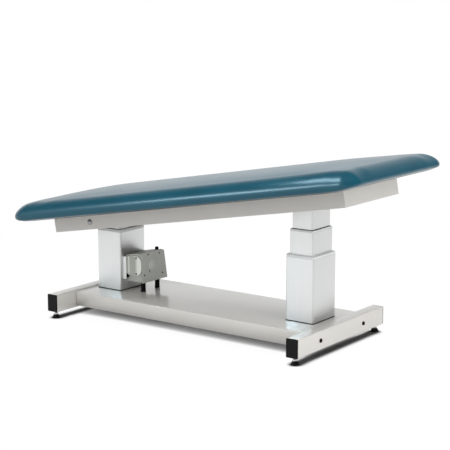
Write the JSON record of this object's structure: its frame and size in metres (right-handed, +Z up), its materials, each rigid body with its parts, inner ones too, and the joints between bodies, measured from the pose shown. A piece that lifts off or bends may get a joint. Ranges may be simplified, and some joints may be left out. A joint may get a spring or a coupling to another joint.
{
  "type": "ultrasound table",
  "caption": "Powered ultrasound table: padded flat top on a steel frame, raised and tilted by telescopic lifting columns on an H-shaped floor base with levelling feet.",
  "frame": {"origin": "on the floor under the middle of the table's bounding box", "axes": "+X along the table towards the end that is raised in the picture, +Y towards the rear, +Z up"},
  "size_m": [1.8324, 0.762, 0.8098],
  "materials": {
    "paint": "satin powder coat",
    "aluminium": "silver anodised",
    "collar": "fine texture",
    "chrome": "polished",
    "steel": "plain",
    "black": "moulded",
    "nylon": "smooth",
    "board": "black backing cloth",
    "vinyl": "coated upholstery vinyl over foam",
    "control": "satin enamel",
    "light_control": "satin enamel"
  },
  "bodies": {
    "base": {"base_cover_top": "paint", "base_cover_front": "paint", "base_cover_rear": "paint", "base_cover_left": "paint", "base_cover_right": "paint", "foot_tube_left": "paint", "foot_tube_right": "paint", "foot_cap_front_left": "black", "foot_cap_rear_left": "black", "foot_cap_front_right": "black", "foot_cap_rear_right": "black", "column_gasket_left": "black", "column_gasket_right": "black", "column_outer_left": "aluminium", "column_outer_right": "aluminium", "outer_collar_left": "collar", "outer_collar_right": "collar", "lift_motor_left": "black", "lift_motor_right": "black", "lift_spindle_lower_left": "chrome", "lift_spindle_lower_right": "chrome", "control_bracket": "aluminium", "control_housing": "control", "control_end_cap": "light_control", "control_side_cover": "control", "control_conduit_front": "black", "control_conduit_rear": "black", "control_fuse_cap": "black"},
    "left_middle": {"column_middle_left": "aluminium", "middle_collar_left": "collar", "lift_spindle_middle_left": "chrome"},
    "left_inner": {"column_inner_left": "aluminium", "lift_spindle_upper_left": "steel", "head_bracket_left": "steel"},
    "pivot": {"pivot_shaft": "chrome"},
    "tabletop": {"frame_rail_front": "paint", "frame_rail_rear": "paint", "frame_rail_left": "paint", "frame_rail_right": "paint", "slot_plate_front": "steel", "slot_plate_rear": "steel", "deck_board": "board", "cushion": "vinyl"},
    "right_middle": {"column_middle_right": "aluminium", "middle_collar_right": "collar", "lift_spindle_middle_right": "chrome"},
    "right_inner": {"column_inner_right": "aluminium", "lift_spindle_upper_right": "steel", "head_bracket_right": "steel", "roller_pin": "steel"},
    "roller_front": {"roller_front": "nylon"},
    "roller_rear": {"roller_rear": "nylon"},
    "leveller_front_left": {"leveller_pad_front_left": "black", "leveller_stem_front_left": "chrome"},
    "leveller_rear_left": {"leveller_pad_rear_left": "black", "leveller_stem_rear_left": "chrome"},
    "leveller_front_right": {"leveller_pad_front_right": "black", "leveller_stem_front_right": "chrome"},
    "leveller_rear_right": {"leveller_pad_rear_right": "black", "leveller_stem_rear_right": "chrome"}
  },
  "joints": [
    {"name": "left_lift", "type": "slide", "parent": "base", "child": "left_middle", "axis": [0, 0, 1], "range_m": [0, 0.127]},
    {"name": "left_inner_slide", "type": "slide", "parent": "left_middle", "child": "left_inner", "axis": [0, 0, 1], "range_m": [0, 0.127]},
    {"name": "left_pivot_turn", "type": "hinge", "parent": "left_inner", "child": "pivot", "pos_m": [-0.55025, 0, 0.4425], "axis": [0, -1, 0], "range_deg": [-13.7, 0]},
    {"name": "tilt", "type": "hinge", "parent": "pivot", "child": "tabletop", "pos_m": [-0.55025, 0, 0.4425], "axis": [0, -1, 0], "range_deg": [-9.9, 3.9]},
    {"name": "right_lift", "type": "slide", "parent": "base", "child": "right_middle", "axis": [0, 0, 1], "range_m": [-0.0916, 0.0354]},
    {"name": "right_inner_slide", "type": "slide", "parent": "right_middle", "child": "right_inner", "axis": [0, 0, 1], "range_m": [-0.0916, 0.0354]},
    {"name": "roller_front_turn", "type": "hinge", "parent": "right_inner", "child": "roller_front", "pos_m": [0.50075, -0.094, 0.6257], "axis": [0, 1, 0], "continuous": true},
    {"name": "roller_rear_turn", "type": "hinge", "parent": "right_inner", "child": "roller_rear", "pos_m": [0.50075, 0.094, 0.6257], "axis": [0, 1, 0], "continuous": true},
    {"name": "leveller_front_left_screw", "type": "slide", "parent": "base", "child": "leveller_front_left", "axis": [0, 0, -1], "range_m": [0, 0.012]},
    {"name": "leveller_rear_left_screw", "type": "slide", "parent": "base", "child": "leveller_rear_left", "axis": [0, 0, -1], "range_m": [0, 0.012]},
    {"name": "leveller_front_right_screw", "type": "slide", "parent": "base", "child": "leveller_front_right", "axis": [0, 0, -1], "range_m": [0, 0.012]},
    {"name": "leveller_rear_right_screw", "type": "slide", "parent": "base", "child": "leveller_rear_right", "axis": [0, 0, -1], "range_m": [0, 0.012]}
  ],
  "couplings": [
    {"joint": "left_inner_slide", "follows": "left_lift", "ratio": 1},
    {"joint": "left_pivot_turn", "follows": "left_lift", "rad_per_m": -1.874},
    {"joint": "right_inner_slide", "follows": "right_lift", "ratio": 1},
    {"joint": "tilt", "follows": "right_lift", "rad_per_m": 1.874}
  ]
}
